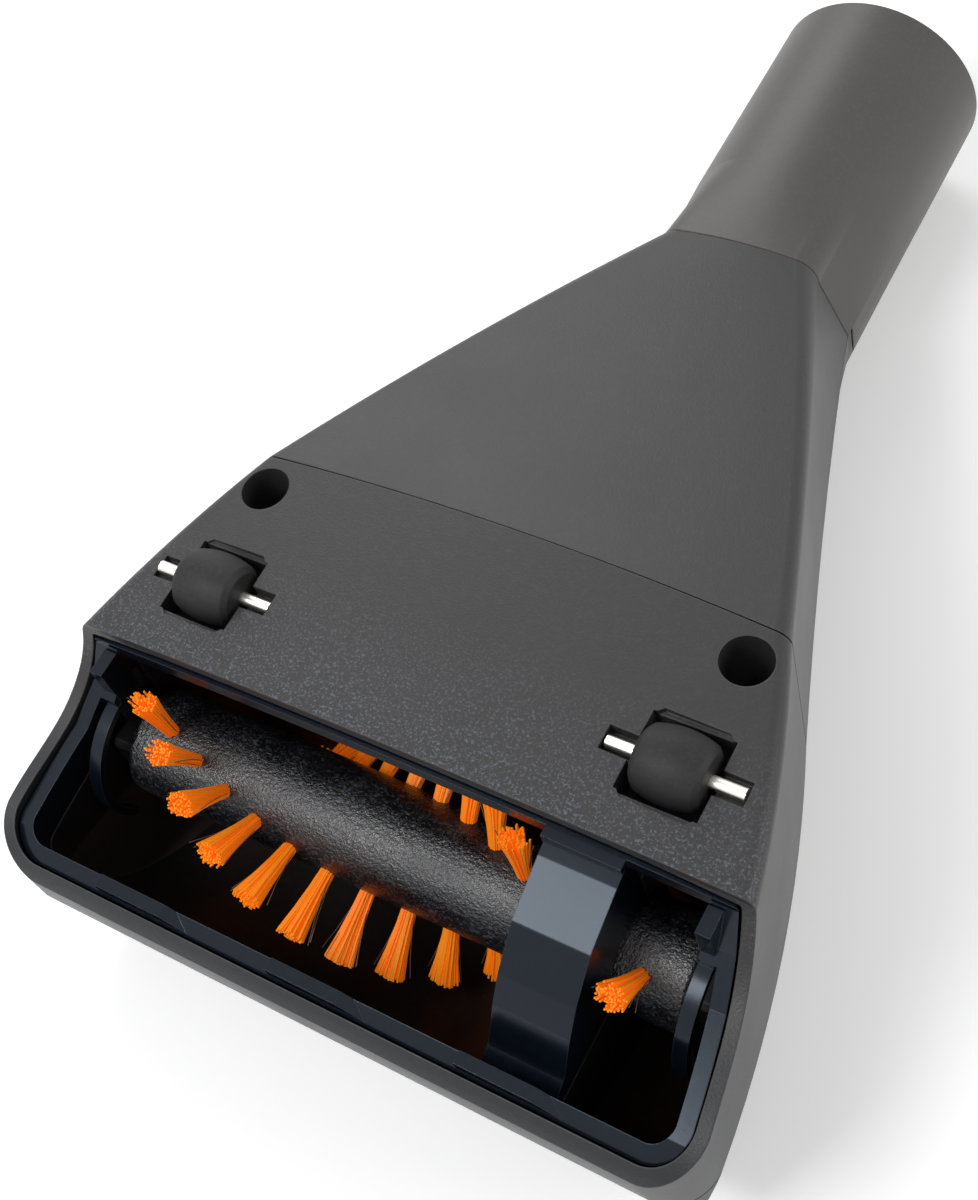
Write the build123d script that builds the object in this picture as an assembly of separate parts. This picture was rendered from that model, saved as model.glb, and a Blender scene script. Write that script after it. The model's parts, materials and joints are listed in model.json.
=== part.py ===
from build123d import *
import math
import os

# Hand-held turbo brush, lying on its back: sole up (+Z), mouth to -Y, wand tube to +Y.
# While modelling, the origin is at the middle of the sole plate's front edge.
# The finished pieces are moved so that the origin is under the middle of the whole object.

# Casing
wall = 2.2
seam_gap = 0.3
half_width_lip = 65.6
half_width_plate = 60.8
half_width_seam = 48.4
half_width_waist = 33.6
waist_splay = 0.9
half_width_neck_top = 16.0
half_width_neck = 21.0
lip_y = -37.0
seam_y = 40.0
waist_y = 79.0
neck_y = 121.7
parting_z = -37.0
neck_top_z = -18.2
base_z = -60.4
sole_crown = 1.3
neck_crown = 0.8
neck_rounding = 2.4
waist_rounding = 5.0
edge_radius = 2.6
base_radius = 12.0
base_taper = 7.0
lip_corner_radius = 9.0
front_round_y = 30.0
front_round_z = 31.0
seam_bow = 1.3
least_round = 0.5
lap_height = 2.2
lap_width = 1.1
lap_fit = 0.15
lap_relief = 10.0

# Wand tube
tube_radius = 21.2
tube_z = base_z + tube_radius
tube_end_y = 187.5
tube_round_y = 143.0
socket_radius = 17.6
socket_depth = 36.0
airway_radius = 15.0
spigot_radius = 17.0
spigot_length = 14.0
spigot_fit = 0.1
flange_radius = 18.4
flange_width = 3.0
bulkhead = 3.0
tongue_length = 11.0
tongue_thickness = 1.8

# Brush roll
roll_y = -4.6
roll_z = -30.0
core_radius = 9.4
core_half_length = 53.0
tip_radius = 21.9
tuft_pitch = 6.8
tuft_first_x = -45.7
tufts_left = 11
tuft_right_x = 45.3
tuft_right_turn = 307.0
helix_turn = 2.5
helix_start = 95.0
tuft_root_radius = 1.0
tuft_root_depth = 2.4
tuft_tip_wide = 2.5
tuft_tip_narrow = 1.7
brush_shaft_radius = 2.0
running_fit = 0.06
press_gap = 0.02

# Chamber round the roll
chamber_radius = 24.2
chamber_wall = 1.5
chamber_front_gap = 4.9
chamber_top_z = -12.5
chamber_side_gap = 1.6
bush_radius = 3.4
block_size = 12.0
block_length = 3.6
block_gap = 0.1
block_end_x = 56.9
foot_x = (-40.0, 0.0, 20.0)
foot_front = 2.0
foot_back = 14.0
window_half_width = 20.0
window_top_z = -15.5
window_height = 13.5
rib_z = -13.8

# Belt drive
belt_x = 34.5
belt_width = 6.0
belt_thickness = 1.0
belt_seat_radius = 7.5
pinion_radius = 3.5
pinion_flange = 0.5
pinion_lip = 0.4
shaft_end = 0.3
guard_half_width = 6.5
guard_thickness = 1.8
guard_web = 1.3
guard_bend = 2.5
guard_pad = 1.8
guard_lean = 0.35
core_gap = 1.2

# Turbine
turbine_y = 54.0
turbine_z = -33.0
turbine_radius = 18.5
turbine_half_width = 17.0
turbine_hub_radius = 6.0
turbine_blades = 11
blade_thickness = 1.2
blade_lean = 28.0
turbine_shaft_radius = 1.5
turbine_bush_radius = 3.0
cradle_gap = 1.6
cradle_wall = 1.8
foot_half = 9.0
disc_width = 1.2
blade_bow = 2.2
bush_inset = 0.6
belt_clear = 0.8
seat_side = 1.2
core_end_round = 1.5
rim_chamfer = 0.8

# Sole wheels
wheel_x = 41.8
wheel_y = 14.3
wheel_axle_z = -2.0
wheel_radius = 6.0
wheel_edge_radius = 4.7
wheel_half_width = 5.6
wheel_gap = 0.9
axle_radius = 1.1
axle_half_length = 11.2
pocket_half_x = 6.7
pocket_half_y = 7.7
pocket_chamfer = 1.5
pocket_wall = 1.2
slot_half_x = 11.5
slot_half_y = 2.1

# Screw wells in the sole
well_x = 44.1
well_y = 33.8
well_radius = 4.25
well_wall = 1.6
well_depth = 19.0
well_floor = 2.2
screw_head_radius = 3.4
screw_head_height = 2.2
screw_radius = 1.7
screw_length = 14.0
post_radius = 4.0

# Mouth frame
frame_gap = 0.5
frame_width = 2.6
frame_depth = 7.0
frame_drop = 1.2
frame_bar = 3.0
frame_bar_depth = 2.7
frame_bar_front = 0.8
corner_width = 4.2
corner_length = 7.0
tab_half_width = 6.6
tab_pitch = 34.4
tab_centre_x = -2.0
tab_height = 1.0
tab_width = 2.2
tab_ramp = 6.0
tab_root = 0.6
ring_radius = 14.8
ring_thickness = 1.3
ring_width = 2.4
ring_x = 55.0
ring_end_angle = 35.0

# Heights of the bezel's edge beside the mouth, front to back
mouth_edge = [(lip_y, -27.0), (-34.5, -23.8), (-30.0, -20.8), (-12.0, -15.8), (-5.0, -11.2), (0.0, -3.4)]

far = 300.0
over = 1.0

# Small rounds, reaches and shares
lip_corner_lean = 2.0
seam_overreach = 5.0
seam_tail = 10.0
plate_front_y = 0.5
plate_back_gap = 1.0
through = 5.0
ring_back_share = 0.6
ring_strut_depth = 2.0
window_behind = 5.0
slot_behind = 10.0
notch_reach = 12.0
block_chamfer = 1.0
blade_root_sink = 1.0
blade_tip_gap = 0.3
cradle_open = 2.0
wheel_shoulder = 0.8
wheel_shoulder_rise = 0.5
wheel_edge_drop = 0.4
screw_head_round = 0.8
cross_length = 1.9
cross_width = 0.45
cross_floor = 0.7


def profile_plane(x=0.0):
    """Plane whose local axes are the row's Y and Z, at a given x."""
    return Plane(origin=(x, 0, 0), x_dir=(0, 1, 0), z_dir=(1, 0, 0))


def section_plane(y):
    """Plane whose local axes are the row's X and Z, at a given y."""
    return Plane(origin=(0, y, 0), x_dir=(1, 0, 0), z_dir=(0, -1, 0))


def upward(face):
    """The face, turned over if it looks down."""
    return -face if face.normal_at().Z < 0 else face


def prism_x(face, x_low, x_high):
    """Extrude a face drawn in Y and Z from x_low to x_high."""
    return extrude(profile_plane(x_low) * upward(face), amount=x_high - x_low)


def prism_z(face, z_low, z_high):
    """Extrude a face drawn in X and Y from z_low to z_high."""
    return extrude(Pos(0, 0, z_low) * upward(face), amount=z_high - z_low)


def slab(x0, x1, y0, y1, z0, z1):
    """Box given by its limits."""
    middle = ((x0 + x1) / 2, (y0 + y1) / 2, (z0 + z1) / 2)
    return Pos(*middle) * Box(x1 - x0, y1 - y0, z1 - z0)


def rod_x(x0, x1, y, z, radius):
    """Cylinder along X."""
    return Pos((x0 + x1) / 2, y, z) * Rot(0, 90, 0) * Cylinder(radius, x1 - x0)


def rod_y(y0, y1, radius):
    """Cylinder along Y on the wand tube's axis."""
    return Pos(0, (y0 + y1) / 2, tube_z) * Rot(90, 0, 0) * Cylinder(radius, y1 - y0)


def rod_z(x, y, z0, z1, radius):
    """Upright cylinder."""
    return Pos(x, y, (z0 + z1) / 2) * Cylinder(radius, z1 - z0)


def polygon(points):
    """Face with straight sides."""
    return Face(Wire(Polyline(*points, close=True).edges()))


def main_solid(shape):
    """The largest solid of a result."""
    return max(shape.solids(), key=lambda s: s.volume)


def back_z(y):
    """Height of the casing's back at x = 0."""
    return neck_top_z * max(y - seam_y, 0.0) / (neck_y - seam_y)


def quarter_arc(start, end):
    """Rounded corner from a level line's end to an upright line's end, both in X and Z."""
    centre = (start[0], end[1])
    reach_x = (end[0] - start[0]) * math.sqrt(0.5)
    reach_z = (start[1] - end[1]) * math.sqrt(0.5)
    return ThreePointArc(start, (centre[0] + reach_x, centre[1] + reach_z), end)


def section_face(y, top_half, top_z, crown, top_round, side_half, base_half, base_round, inset):
    """Casing section at y, moved inwards by inset."""
    top_round = max(top_round - inset, least_round)
    base_round = max(base_round - inset, least_round)
    crest = (0, top_z - inset)
    top = (top_half - inset - top_round, top_z - inset - crown)
    flank = (top_half - inset, top[1] - top_round)
    side = (side_half - inset, parting_z)
    corner = (base_half - inset, base_z + inset)
    lean = math.atan2(side[0] - corner[0], side[1] - corner[1])
    half_turn = math.pi / 4 + lean / 2
    reach = base_round / math.tan(half_turn)
    low = (corner[0] + reach * math.sin(lean), corner[1] + reach * math.cos(lean))
    base = (corner[0] - reach, corner[1])
    bend = (base[0] + base_round * math.cos(half_turn), base[1] + base_round * (1 - math.sin(half_turn)))

    def left(p):
        return (-p[0], p[1])

    edges = [
        ThreePointArc(left(top), crest, top),
        quarter_arc(top, flank),
        Line(flank, side),
        Line(side, low),
        ThreePointArc(low, bend, base),
        Line(base, left(base)),
        ThreePointArc(left(base), left(bend), left(low)),
        Line(left(low), left(side)),
        Line(left(side), left(flank)),
        quarter_arc(left(top), left(flank)),
    ]
    return section_plane(y) * Face(Wire(edges))


def seam_section(inset):
    """Casing section at the seam."""
    return section_face(seam_y, half_width_seam, 0.0, sole_crown, edge_radius,
                        half_width_seam, half_width_seam - base_taper, base_radius, inset)


def neck_section(y, inset):
    """Casing section where the wand tube starts."""
    return section_face(y, half_width_neck_top, neck_top_z, neck_crown, edge_radius + neck_rounding,
                        half_width_neck, tube_radius, tube_radius - 1.0, inset)


def rear_form(inset, end_y):
    """Solid inside the casing from the seam to the neck."""
    side = half_width_waist + waist_splay
    waist = section_face(waist_y, half_width_waist, back_z(waist_y), neck_crown, edge_radius,
                         side, side - base_taper, base_radius + waist_rounding, inset)
    form = loft([seam_section(inset), waist, neck_section(neck_y, inset)])
    if end_y < neck_y:
        form = form & slab(-far, far, -far, end_y, -far, far)
    return main_solid(form)


def nose_face(inset):
    """Side view limit of the front: upright at the lip, rounded below."""
    y0 = lip_y + inset
    z0 = base_z + inset
    curve = Spline((y0, base_z + front_round_z), (lip_y + front_round_y, z0), tangents=[(0, -1), (1, 0)])
    low_y = lip_y + front_round_y
    lines = Polyline((low_y, z0), (low_y, -far), (far, -far), (far, far), (y0, far), (y0, base_z + front_round_z))
    return Face(Wire([curve] + list(lines.edges())))


def sole_section(y, half, inset):
    """Casing section in front of the seam. The crown keeps one curvature at every width."""
    crown = sole_crown * ((half - edge_radius) / (half_width_seam - edge_radius)) ** 2
    return section_face(y, half, 0.0, crown, edge_radius, half, half - base_taper, base_radius, inset)


def lip_plan(inset):
    """Plan limit of the front: the lip's line and its two round corners, then open to the sides."""
    flank = Spline((half_width_lip, lip_y), (half_width_plate, 0.0), (half_width_seam, seam_y))
    share = lip_corner_radius / (seam_y - lip_y)
    point = flank @ share
    turn = math.atan2(-(flank % share).X, (flank % share).Y)
    centre_x = point.X - lip_corner_radius * math.cos(turn)
    centre_y = lip_y + lip_corner_radius
    radius = lip_corner_radius - inset
    turn = turn - math.radians(lip_corner_lean)
    half = (turn - math.pi / 2) / 2
    start = (centre_x, centre_y - radius)
    middle = (centre_x + radius * math.cos(half), centre_y + radius * math.sin(half))
    end = (centre_x + radius * math.cos(turn), centre_y + radius * math.sin(turn))
    wide = (end[0] - far * math.sin(turn), end[1] + far * math.cos(turn))

    def left(p):
        return (-p[0], p[1])

    return Face(Wire([
        Line(left(start), start),
        ThreePointArc(start, middle, end),
        Line(end, wide),
        Line(wide, left(wide)),
        Line(left(wide), left(end)),
        ThreePointArc(left(end), left(middle), left(start)),
    ]))


def front_form(inset, tail=0.0):
    """Solid inside the casing from the lip to the seam, or a little past it by tail."""
    seam = seam_section(inset)
    lip = sole_section(lip_y, half_width_lip, inset)
    form = loft([lip, sole_section(0.0, half_width_plate, inset), seam])
    form = form & prism_z(lip_plan(inset), -far, far)
    form = form & prism_x(nose_face(inset), -far, far)
    if tail > 0:
        form = form + extrude(seam, amount=tail, dir=(0, 1, 0))
    return main_solid(form)


def mouth_line(drop):
    """Points of the mouth's edge in side view, lowered by drop."""
    return [(y, z - drop) for y, z in mouth_edge]


def mouth_height(y):
    """Height of the bezel's edge at y."""
    for (y0, z0), (y1, z1) in zip(mouth_edge, mouth_edge[1:]):
        if y <= y1:
            return z0 + (z1 - z0) * (y - y0) / (y1 - y0)
    return mouth_edge[-1][1]


def above_mouth():
    """Space above the bezel's edge, which is one smooth curve in side view."""
    start = mouth_edge[0]
    end = mouth_edge[-1]
    rest = Polyline(end, (end[0], far), (start[0] - far, far), (start[0] - far, start[1]), start)
    return prism_x(Face(Wire([Spline(*mouth_edge)] + list(rest.edges()))), -far, far)


# Crest of the belt guard in side view, rear bar to lip
guard_crest = [(0.6, -4.9), (-4.5, -6.2), (-14.0, -9.6), (-20.5, -14.9), (-24.2, -19.4), (-28.0, -25.3),
               (-32.0, -27.6)]


def whole_form(inset, end_y):
    """Solid inside the whole casing."""
    return main_solid(front_form(inset) + rear_form(inset, end_y))


def seam_side(shift):
    """Space in front of the bowed seam, moved along Y by shift."""
    radius = (half_width_seam ** 2 + seam_bow ** 2) / (2 * seam_bow)
    edge_x = half_width_lip + seam_overreach
    edge_y = seam_y + seam_bow - radius + math.sqrt(radius ** 2 - edge_x ** 2) + shift
    top_y = seam_y + seam_bow + shift
    arc = ThreePointArc((edge_x, edge_y), (0, top_y), (-edge_x, edge_y))
    rest = Polyline((-edge_x, edge_y), (-edge_x, -far), (edge_x, -far), (edge_x, edge_y))
    return prism_z(Face(Wire([arc] + list(rest.edges()))), -far, far)


outer = whole_form(0, neck_y)
cavity = whole_form(wall, neck_y - bulkhead)
casing = (outer - above_mouth()) - cavity
above_parting = slab(-far, far, -far, far, parting_z + seam_gap / 2, far)
below_parting = slab(-far, far, -far, far, -far, parting_z - seam_gap / 2)
lap_end_y = neck_y - spigot_length - lap_relief
spigot_hole = rod_y(lap_end_y, neck_y + wall, spigot_radius + spigot_fit)
floor_z = base_z + wall
past_seam_y = seam_y + seam_tail
flange_end_y = neck_y - bulkhead - press_gap
rib_end_y = flange_end_y - flange_width - press_gap


def chamber_inset():
    """Distance of the chamber's outside from the casing's outside."""
    return wall + chamber_side_gap


def bulkhead_rib():
    """Rib in front of the tube's flange, with its spigot hole."""
    rib = slab(-far, far, rib_end_y - bulkhead, rib_end_y, -far, far) & cavity
    return rib - spigot_hole


def make_top_cover():
    """Lower half as it lies: floor, rounded nose, lap lip, ribs, posts and the tongue under the tube."""
    cover = casing & below_parting
    lap_outer = whole_form(wall + lap_fit, lap_end_y)
    lap_inner = whole_form(wall + lap_fit + lap_width, lap_end_y)
    lip = (lap_outer - lap_inner) & slab(-far, far, -far, far, parting_z - seam_gap, parting_z + lap_height)
    low_part = slab(-far, far, -far, lap_end_y, parting_z - lap_height, parting_z - seam_gap / 2)
    foot = (cavity - lap_inner) & low_part
    cover = cover + foot + lip
    cover = cover + (bulkhead_rib() & below_parting)
    mid_wall = whole_form(wall / 2, lap_end_y)
    for side in (-1, 1):
        post = rod_z(side * well_x, well_y, base_z, -well_depth - well_floor, post_radius)
        pilot = rod_z(side * well_x, well_y, -well_depth - screw_length - over, 0, screw_radius + press_gap)
        cover = cover + (post & mid_wall) - pilot
    cover = cover - spigot_hole
    cover = cover + make_tongue()
    return main_solid(cover)


def tongue_space(gap):
    """Upright elliptic prism behind the neck seam, below the parting line."""
    reach = Ellipse(tube_radius + gap, tongue_length + gap).face()
    space = prism_z(Pos(0, neck_y) * reach, -far, parting_z - seam_gap / 2 + gap)
    return space & slab(-far, far, neck_y - 0.5, far, -far, far)


def circle_section(y, inset):
    """Round wand tube section, split at the same corners as the neck section."""
    corners = neck_section(y, inset).vertices()
    angles = sorted(math.atan2(v.Z - tube_z, v.X) for v in corners)
    radius = tube_radius - inset

    def at(angle):
        return (radius * math.cos(angle), tube_z + radius * math.sin(angle))

    edges = []
    for i, start in enumerate(angles):
        end = angles[(i + 1) % len(angles)]
        if end < start:
            end += 2 * math.pi
        edges.append(ThreePointArc(at(start), at((start + end) / 2), at(end)))
    return section_plane(y) * Face(Wire(edges))


def neck_form(inset):
    """Outside of the wand tube: from the casing's section to round, then straight."""
    flare = loft([neck_section(neck_y, inset), circle_section(tube_round_y, inset)])
    return main_solid(flare + rod_y(tube_round_y, tube_end_y, tube_radius - inset))


def make_tongue():
    """Rear edge of the cover, wrapped round the tube's lower half."""
    ring = neck_form(0) - neck_form(tongue_thickness)
    return ring & tongue_space(0)


def make_rear_underside():
    """Tapered back of the underside, with its half of the bulkhead and the neck's end wall."""
    shell = (rear_form(0, neck_y) - rear_form(wall, neck_y - bulkhead)) & above_parting
    shell = shell - seam_side(seam_gap / 2)
    lap_clear = slab(-far, far, -far, far, parting_z + seam_gap / 2, far)
    shell = shell + (bulkhead_rib() & lap_clear)
    return main_solid(shell - spigot_hole)


def make_neck_tube():
    """Wand tube with its spigot, flange, airway, socket and stop shoulder."""
    tube = neck_form(0) & slab(-far, far, neck_y + seam_gap / 2, far, -far, far)
    tube = tube - (tongue_space(seam_gap / 2) - neck_form(tongue_thickness + seam_gap / 2))
    tube = tube + rod_y(neck_y - spigot_length, neck_y + 1.0, spigot_radius)
    tube = tube + rod_y(flange_end_y - flange_width, flange_end_y, flange_radius)
    tube = tube - rod_y(neck_y - spigot_length - 1.0, tube_end_y - 1.0, airway_radius)
    tube = tube - rod_y(tube_end_y - socket_depth, tube_end_y + 1.0, socket_radius)
    rim = [e for e in tube.edges() if e.center().Y > tube_end_y - 0.01]
    tube = chamfer(rim, rim_chamfer)
    return main_solid(tube)


def octagon(half_x, half_y, cut):
    """Plan of a wheel pocket."""
    return polygon([(half_x, -half_y + cut), (half_x, half_y - cut), (half_x - cut, half_y),
                    (cut - half_x, half_y), (-half_x, half_y - cut), (-half_x, cut - half_y),
                    (cut - half_x, -half_y), (half_x - cut, -half_y)])


def pocket_body(grow):
    """Wheel pocket with its axle slot, grown outwards by grow."""
    half_x = pocket_half_x + grow
    well_z = wheel_axle_z - axle_radius
    upper = prism_z(octagon(half_x, pocket_half_y + grow, pocket_chamfer), wheel_axle_z - grow, 6.0)
    round_part = rod_x(-half_x, half_x, 0, wheel_axle_z, wheel_radius + wheel_gap + grow)
    slot = slab(-slot_half_x - grow, slot_half_x + grow, -slot_half_y - grow, slot_half_y + grow,
                well_z - grow, 6.0)
    return Pos(0, wheel_y, 0) * (upper + round_part + slot)


def make_sole_plate():
    """Front underside with its side walls and bezel, wheel pockets, screw wells and the chamber's rib."""
    shell = (front_form(0, 2 * seam_bow) - above_mouth()) - front_form(wall, 3 * seam_bow)
    plate = (shell & above_parting) & seam_side(-seam_gap / 2)
    inside = cavity & slab(-far, far, plate_front_y, seam_y - plate_back_gap, -far, far)
    chamber_back = roll_y + chamber_radius + chamber_wall
    rib = slab(-far, far, chamber_back + seam_gap, chamber_back + seam_gap + chamber_wall, rib_z, 0)
    plate = plate + (rib & inside)
    limit = outer & slab(-far, far, plate_front_y, seam_y - plate_back_gap, -far, far)
    holes = []
    for side in (-1, 1):
        place = Pos(side * wheel_x, 0, 0)
        plate = plate + ((place * pocket_body(pocket_wall)) & limit)
        well_body = rod_z(side * well_x, well_y, -well_depth - well_floor, 0, well_radius + well_wall)
        plate = plate + (well_body & limit)
        holes.append(place * pocket_body(0.0))
        holes.append(rod_z(side * well_x, well_y, -well_depth, through, well_radius))
        hole_z = -well_depth - well_floor - through
        holes.append(rod_z(side * well_x, well_y, hole_z, through, screw_radius + seam_gap))
    for hole in holes:
        plate = plate - hole
    return main_solid(plate)


def make_mouth_frame():
    """Inner frame with its rear bar, belt guard, lip tabs and the two guard rings at the roll's ends."""
    gap = wall + frame_gap
    bar_y = -frame_bar_front
    bar_low_z = -gap - frame_bar_depth
    line = mouth_line(frame_drop)[:-1] + [(bar_y, mouth_height(bar_y) - frame_drop)]
    band_low = [(y, z - frame_depth) for y, z in line] + [(frame_bar, chamber_top_z + frame_gap)]
    band = prism_x(polygon(line + [(bar_y, 0.0), (frame_bar, 0.0)] + band_low[::-1]), -far, far)
    limit = whole_form(gap, past_seam_y)
    narrow = whole_form(gap + frame_width, past_seam_y) & slab(-far, far, -far, -corner_length, -far, far)
    corner_x = half_width_plate - gap - corner_width
    corners = slab(-corner_x, corner_x, -corner_length - over, bar_y, -far, far)
    below = whole_form(gap + frame_bar_depth, past_seam_y)
    under_bar = below & slab(-corner_x, corner_x, bar_y - over, frame_bar + over, -far, 0)
    frame = (limit & band) - narrow - corners - under_bar
    pad_x = belt_x - guard_half_width
    pad = slab(pad_x, pad_x + 2 * guard_half_width, bar_y - guard_pad, frame_bar, bar_low_z, 0)
    frame = frame + (pad & limit)
    frame = frame + make_guard()
    for i in (-1, 0, 1):
        frame = frame + lip_tab(tab_centre_x + i * tab_pitch)
    for side in (-1, 1):
        frame = frame + guard_ring(side)
    return main_solid(frame)


def make_guard():
    """Faceted band over the belt with a web on each side."""
    x0 = belt_x - guard_half_width
    x1 = belt_x + guard_half_width
    crest = FilletPolyline(*guard_crest, radius=guard_bend)
    inner_points = [(y + guard_thickness * guard_lean, z - guard_thickness) for y, z in guard_crest]
    inner = FilletPolyline(*inner_points, radius=guard_bend)
    front = Line(guard_crest[-1], inner_points[-1])
    back = Line(guard_crest[0], inner_points[0])
    band = prism_x(Face(Wire(list(crest.edges()) + [front, back] + list(inner.edges()))), x0, x1)
    low = Polyline(guard_crest[-1], (guard_crest[-1][0], roll_z), (guard_crest[0][0], roll_z), guard_crest[0])
    web_face = Face(Wire(list(crest.edges()) + list(low.edges())))
    webs = prism_x(web_face, x0, x0 + guard_web) + prism_x(web_face, x1 - guard_web, x1)
    webs = webs - rod_x(x0 - over, x1 + over, roll_y, roll_z, core_radius + core_gap)
    return band + webs


def lip_tab(x):
    """Raised tab on the front lip, with a ramp at its right end."""
    inner_y = lip_y + wall + frame_gap + frame_width
    rim_z = mouth_height(inner_y) - frame_drop
    outer_rim_z = mouth_height(inner_y - tab_width) - frame_drop
    left_x = x - tab_half_width
    right_x = x + tab_half_width
    face = polygon([(left_x, outer_rim_z - tab_root), (right_x + tab_ramp, outer_rim_z - tab_root),
                    (right_x, rim_z + tab_height), (left_x, rim_z + tab_height)])
    return extrude(section_plane(inner_y) * face, amount=tab_width, dir=(0, -1, 0))


def guard_ring(side):
    """Part ring round the roll's end, hung from the rear bar."""
    x0 = side * ring_x - ring_width / 2
    x1 = x0 + ring_width
    bore = rod_x(x0 - over, x1 + over, roll_y, roll_z, ring_radius - ring_thickness)
    ring = rod_x(x0, x1, roll_y, roll_z, ring_radius) - bore
    back_y = roll_y + ring_radius * ring_back_share
    front_y = roll_y - far
    front_z = roll_z - far * math.tan(math.radians(ring_end_angle))
    keep = polygon([(roll_y, roll_z), (back_y, roll_z + far), (front_y, roll_z + far), (front_y, front_z)])
    ring = ring & prism_x(keep, x0 - over, x1 + over)
    strut_y = roll_y + ring_thickness + ring_strut_depth
    strut = slab(x0, x1, roll_y - ring_thickness, strut_y, roll_z + ring_radius - ring_thickness,
                 guard_crest[0][1] - frame_bar_depth / 2)
    return ring + strut


def chamber_face(grow):
    """Side view of the chamber: upright at the lip, round below and behind the roll."""
    front_y = lip_y + chamber_front_gap - grow
    back_y = roll_y + chamber_radius + grow
    low_z = roll_z - chamber_radius - grow
    start_z = roll_z
    nose = Spline((front_y, start_z), (roll_y, low_z), tangents=[(0, -1), (1, 0)])
    turn = math.sqrt(0.5) * (chamber_radius + grow)
    tail = ThreePointArc((roll_y, low_z), (roll_y + turn, roll_z - turn), (back_y, roll_z))
    rest = Polyline((back_y, roll_z), (back_y, far), (front_y, far), (front_y, start_z))
    return Face(Wire([nose, tail] + list(rest.edges())))


def make_brush_chamber():
    """Trough round the roll with end walls, bearing notches, the belt's partitions and the inlet window."""
    side_gap = chamber_inset()
    outer_part = whole_form(side_gap, past_seam_y) & prism_x(chamber_face(chamber_wall), -far, far)
    inner_part = whole_form(side_gap + chamber_wall, past_seam_y) & prism_x(chamber_face(0.0), -far, far)
    top = prism_x(polygon(chamber_top_line()), -far, far)
    tray = (outer_part - inner_part) - top
    x0 = belt_x - guard_half_width
    x1 = belt_x + guard_half_width
    left_web = slab(x0, x0 + guard_web, -far, far, -far, far)
    right_web = slab(x1 - guard_web, x1, -far, far, -far, far)
    webs = (inner_part & (left_web + right_web)) - top
    webs = webs - slab(-far, far, -far, guard_crest[0][0] + seam_gap, roll_z - seam_gap, far)
    webs = webs - rod_x(x0 - over, x1 + over, roll_y, roll_z, core_radius + core_gap)
    tray = tray + webs
    window_low_z = window_top_z - window_height
    window_y = roll_y + window_behind
    tray = tray - slab(-window_half_width, window_half_width, window_y, far, window_low_z, window_top_z)
    slot = belt_reach() + belt_clear
    slot_half = belt_width / 2 + belt_clear
    slot_z = (roll_z + turbine_z) / 2
    slot_y = roll_y + slot_behind
    tray = tray - slab(belt_x - slot_half, belt_x + slot_half, slot_y, far, slot_z - slot, slot_z + slot)
    half = block_size / 2 + block_gap
    for side in (-1, 1):
        notch = slab(-notch_reach, notch_reach, roll_y - half, roll_y + half, roll_z - half, far)
        tray = tray - (Pos(side * half_width_plate, 0, 0) * notch)
    for x in foot_x:
        x0 = x - chamber_wall / 2
        foot = slab(x0, x0 + chamber_wall, roll_y - foot_front, roll_y + foot_back, floor_z, roll_z)
        tray = tray + (foot - prism_x(chamber_face(chamber_wall / 2), -far, far))
    return main_solid(tray)


def chamber_top_line():
    """Outline above the chamber walls: lip height in front, plate height behind."""
    lip_z = mouth_edge[0][1] - frame_drop - frame_depth - seam_gap
    side = [(y, z - frame_drop - frame_depth - seam_gap) for y, z in mouth_edge[1:-1]]
    front = [(-far, lip_z), (lip_y, lip_z)]
    back = [(frame_bar + seam_gap, chamber_top_z), (far, chamber_top_z), (far, far), (-far, far)]
    return front + side + back


def belt_reach():
    """Half height of the belt where it leaves the chamber."""
    return belt_seat_radius + belt_thickness


def make_block(side):
    """Bearing block in the chamber's end notch."""
    x0 = block_end_x - block_length
    block = slab(x0, block_end_x, roll_y - block_size / 2, roll_y + block_size / 2,
                 roll_z - block_size / 2, roll_z + block_size / 2)
    block = chamfer(block.edges().filter_by(Axis.X), block_chamfer)
    block = block - rod_x(x0 - over, block_end_x + over, roll_y, roll_z, bush_radius + press_gap)
    return main_solid(block if side > 0 else mirror(block, Plane.YZ))


def make_bush(x0, x1, y, z, radius, bore):
    """Plain bearing bush."""
    return main_solid(rod_x(x0, x1, y, z, radius) - rod_x(x0 - over, x1 + over, y, z, bore))


def tuft_places():
    """Places of both helical rows along the roll."""
    left = [tuft_first_x + i * tuft_pitch for i in range(tufts_left)]
    return left + [tuft_right_x]


def tuft_angle(x, row):
    """Direction of a tuft round the roll, from +Y towards +Z."""
    turn = tuft_right_turn if x == tuft_right_x else helix_start + helix_turn * (x - tuft_first_x)
    return turn + 180.0 * row


def on_roll(x, angle):
    """Place on the roll's axis, turned so that local Z points along a tuft."""
    return Pos(x, roll_y, roll_z) * Rot(angle - 90.0, 0, 0)


def make_brush_core():
    """Roller: rounded ends, belt seat between flanks, drilled for the shaft and the tufts."""
    core = rod_x(-core_half_length, core_half_length, roll_y, roll_z, core_radius)
    ends = [e for e in core.edges() if abs(e.center().X) > core_half_length - 0.01]
    core = fillet(ends, core_end_round)
    seat = belt_width / 2 + seat_side
    groove = rod_x(belt_x - seat, belt_x + seat, roll_y, roll_z, core_radius + 1)
    groove = groove - rod_x(belt_x - seat, belt_x + seat, roll_y, roll_z, belt_seat_radius)
    core = core - groove
    core = core - rod_x(-far, far, roll_y, roll_z, brush_shaft_radius + press_gap)
    hole_radius = tuft_root_radius + press_gap
    low_face = tuft_ring(core_radius - tuft_root_depth - press_gap, hole_radius, hole_radius)
    hole = extrude(upward(low_face), amount=2 * tuft_root_depth)
    for row in (0, 1):
        for x in tuft_places():
            core = core - on_roll(x, tuft_angle(x, row)) * hole
    return main_solid(core)


def tuft_ring(z, wide, narrow):
    """Eight-sided outline of a tuft at height z."""
    turns = [2 * math.pi * (i + 0.5) / 8 for i in range(8)]
    return Pos(0, 0, z) * polygon([(wide * math.cos(a), narrow * math.sin(a)) for a in turns])


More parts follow.
